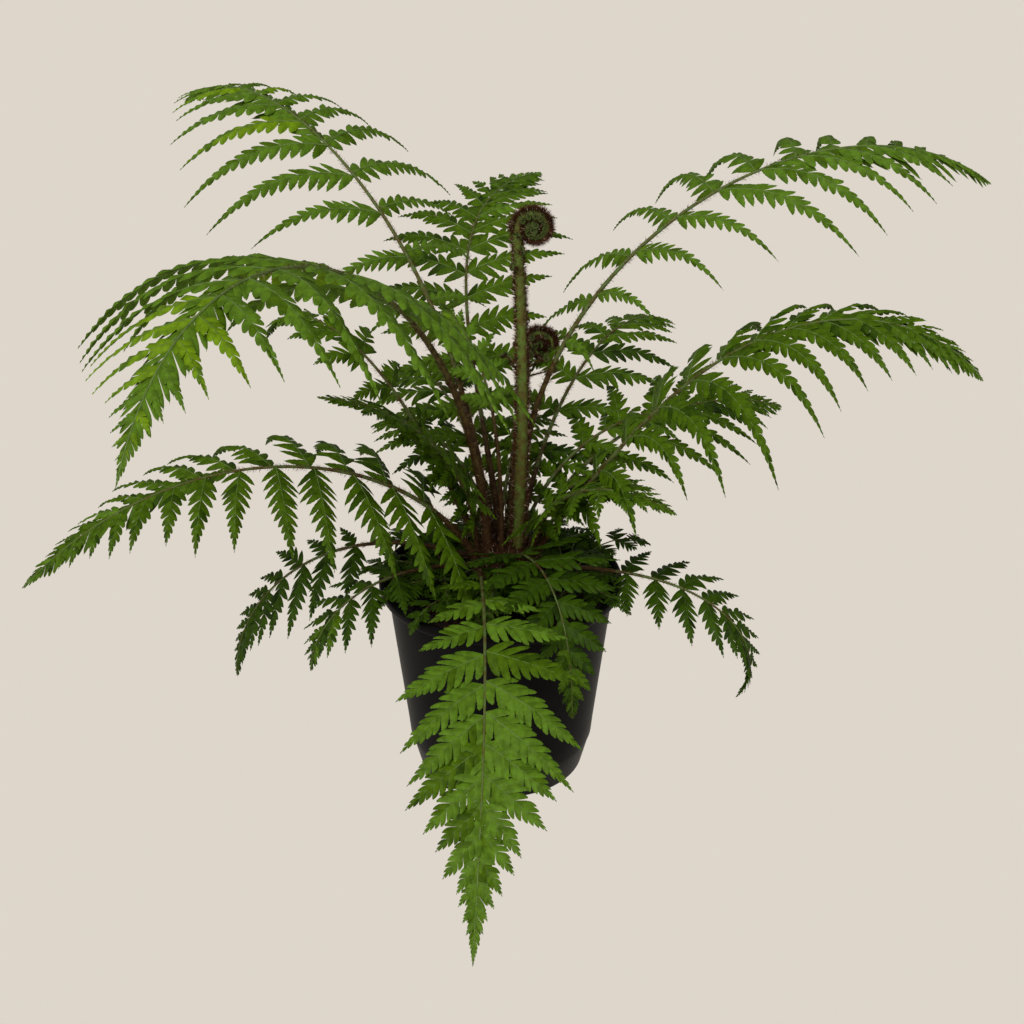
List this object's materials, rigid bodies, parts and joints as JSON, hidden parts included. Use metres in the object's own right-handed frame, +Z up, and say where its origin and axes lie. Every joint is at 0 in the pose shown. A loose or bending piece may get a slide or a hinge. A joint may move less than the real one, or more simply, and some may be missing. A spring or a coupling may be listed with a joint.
{
  "type": "potted tree fern",
  "caption": "Young Australian tree fern in a round nursery pot: short scaly trunk, arching feathery fronds on brown stalks, coiled young fronds at the crown.",
  "frame": {"origin": "centre of the pot's flat underside, on the ground", "axes": "+Z up, -Y towards the front of the picture, +X to its right"},
  "size_m": [0.7581, 0.6778, 0.5298],
  "materials": {
    "pot": "black moulded plastic with a soft sheen",
    "potting_mix": "dark moist bark mix",
    "trunk": "reddish-brown scales",
    "stalk": "brown to pale green with fine scales",
    "crozier": "green under dense brown scales",
    "foliage": "mid-green leaf",
    "foliage_bright": "bright yellow-green leaf",
    "foliage_dark": "dark-green leaf"
  },
  "bodies": {
    "root": {"pot": "pot", "potting_mix": "potting_mix", "trunk": "trunk", "crozier_tall_stalk": "crozier", "crozier_tall_coil": "crozier", "crozier_short_stalk": "crozier", "crozier_short_coil": "crozier", "frond_back_left_stalk": "stalk", "frond_back_left_blade_inner": "foliage", "frond_back_left_blade_outer": "foliage", "frond_left_bright_stalk": "stalk", "frond_left_bright_blade_inner": "foliage_bright", "frond_left_bright_blade_outer": "foliage_bright", "frond_left_low_stalk": "stalk", "frond_left_low_blade_inner": "foliage", "frond_left_low_blade_outer": "foliage", "frond_left_hanging_stalk": "stalk", "frond_left_hanging_blade_inner": "foliage_dark", "frond_left_hanging_blade_outer": "foliage_dark", "frond_left_small_stalk": "stalk", "frond_left_small_blade": "foliage_dark", "frond_front_stalk": "stalk", "frond_front_blade_inner": "foliage", "frond_front_blade_outer": "foliage", "frond_front_right_stalk": "stalk", "frond_front_right_blade": "foliage", "frond_right_hanging_stalk": "stalk", "frond_right_hanging_blade_inner": "foliage_dark", "frond_right_hanging_blade_outer": "foliage_dark", "frond_right_tall_stalk": "stalk", "frond_right_tall_blade_inner": "foliage", "frond_right_tall_blade_outer": "foliage", "frond_right_wide_stalk": "stalk", "frond_right_wide_blade_inner": "foliage", "frond_right_wide_blade_outer": "foliage", "frond_right_back_stalk": "stalk", "frond_right_back_blade": "foliage_dark", "frond_back_stalk": "stalk", "frond_back_blade_inner": "foliage", "frond_back_blade_outer": "foliage", "frond_left_inner_stalk": "stalk", "frond_left_inner_blade_inner": "foliage_dark", "frond_left_inner_blade_outer": "foliage_dark", "frond_rear_right_stalk": "stalk", "frond_rear_right_blade": "foliage_dark", "frond_rear_left_stalk": "stalk", "frond_rear_left_blade": "foliage_dark", "frond_young_stalk": "stalk", "frond_young_blade": "foliage_bright", "frond_inner_left_stalk": "stalk", "frond_inner_left_blade": "foliage_dark", "frond_inner_right_stalk": "stalk", "frond_inner_right_blade": "foliage_dark", "sporeling_1": "foliage_dark", "sporeling_2": "foliage_dark", "sporeling_3": "foliage_dark", "sporeling_4": "foliage_dark", "sporeling_5": "foliage_dark", "sporeling_6": "foliage_dark", "sporeling_7": "foliage_dark"}
  },
  "joints": []
}
